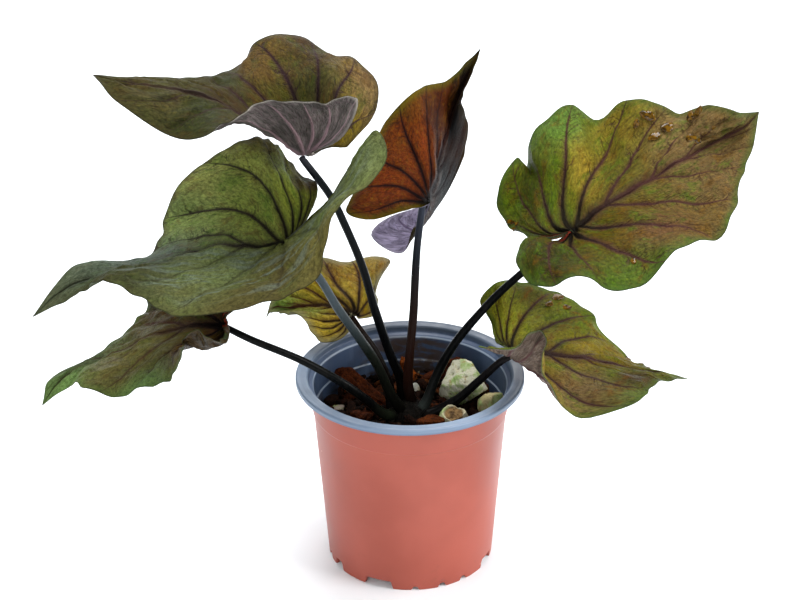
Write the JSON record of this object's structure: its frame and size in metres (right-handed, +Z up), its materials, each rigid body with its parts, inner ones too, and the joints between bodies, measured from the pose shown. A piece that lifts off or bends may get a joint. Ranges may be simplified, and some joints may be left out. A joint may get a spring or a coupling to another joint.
{
  "type": "potted caladium plant",
  "caption": "Dark-leaved caladium in a plastic nursery pot, with broad veined heart-shaped leaves on slim black stalks that rise from a corm in coarse bark and pumice mix.",
  "frame": {"origin": "centre of the pot's foot, on the surface that the pot stands on", "axes": "+Z up, +X to the right and along the plant's widest spread, +Y away from the viewer"},
  "size_m": [0.3695, 0.1891, 0.2865],
  "materials": {
    "pot_plastic": "satin",
    "mix": "matte",
    "corm_skin": "matte",
    "bark": "matte",
    "pumice": "matte",
    "stalk_skin": "satin",
    "leaf": "satin",
    "leaf_backlit": "satin"
  },
  "bodies": {
    "root": {"pot": "pot_plastic", "growing_mix": "mix", "corm": "corm_skin", "bark_chip_1": "bark", "bark_chip_2": "bark", "bark_chip_3": "bark", "bark_chip_4": "bark", "bark_chip_5": "bark", "bark_chip_6": "bark", "bark_chip_7": "bark", "bark_chip_8": "bark", "bark_chip_9": "bark", "pumice_stone_1": "pumice", "pumice_stone_2": "pumice", "pumice_stone_3": "pumice", "pumice_stone_4": "pumice", "pumice_stone_5": "pumice", "pumice_stone_6": "pumice", "stalk_top_left": "stalk_skin", "stalk_front_left": "stalk_skin", "stalk_low_left": "stalk_skin", "stalk_back_left": "stalk_skin", "stalk_centre": "stalk_skin", "stalk_right": "stalk_skin", "stalk_low_right": "stalk_skin", "blade_top_left": "leaf", "blade_front_left": "leaf", "blade_low_left": "leaf", "blade_back_left": "leaf", "blade_centre": "leaf_backlit", "blade_right": "leaf", "blade_low_right": "leaf"}
  },
  "joints": []
}
